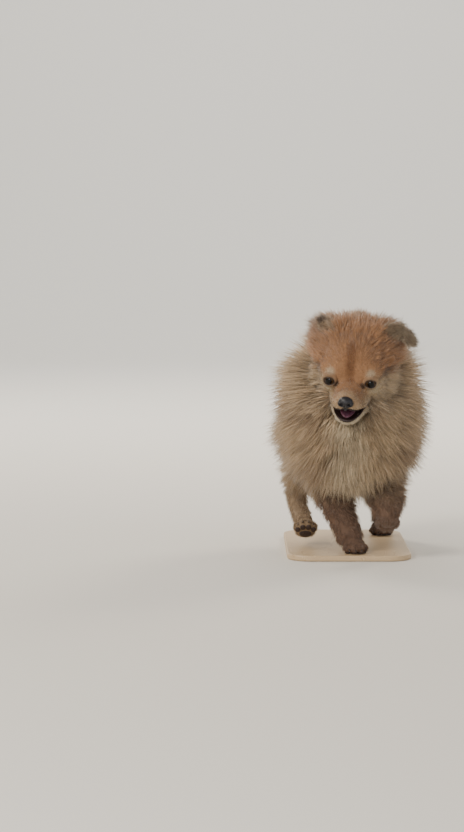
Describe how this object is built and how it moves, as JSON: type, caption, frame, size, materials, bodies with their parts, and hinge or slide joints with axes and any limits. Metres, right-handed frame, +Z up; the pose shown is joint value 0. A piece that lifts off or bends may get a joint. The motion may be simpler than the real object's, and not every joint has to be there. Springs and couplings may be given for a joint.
{
  "type": "pomeranian puppy figure",
  "caption": "Life-size still model of a trotting Pomeranian puppy with a long, standing-off coat, on a thin flat stand plate under its two planted feet.",
  "frame": {"origin": "centre of the stand plate's underside", "axes": "+Z up, the puppy faces -Y, +X is its left side, Y is the body's length"},
  "size_m": [0.1367, 0.2345, 0.2137],
  "materials": {
    "coat_ginger": "soft orange-sable fur",
    "coat_cream": "soft tan and cream fur",
    "coat_brown": "short brown fur",
    "nose": "damp, pebbled",
    "tongue": "moist, dusky purple",
    "eye": "wet, very dark brown",
    "plate": "oiled pale ash"
  },
  "bodies": {
    "root": {"stand_plate": "plate", "eye_left": "eye", "eye_right": "eye", "nose": "nose", "head": "coat_ginger", "jaw": "coat_cream", "tongue": "tongue", "ear_left": "coat_ginger", "ear_right": "coat_ginger", "neck": "coat_cream", "torso": "coat_ginger", "tail": "coat_cream", "foreleg_right": "coat_brown", "foreleg_left": "coat_brown", "thigh_right": "coat_ginger", "thigh_left": "coat_ginger", "shank_right": "coat_brown", "shank_left": "coat_brown", "forepaw_right": "coat_brown", "forepaw_left": "coat_brown", "hindpaw_right": "coat_brown", "hindpaw_left": "coat_brown"}
  },
  "joints": []
}
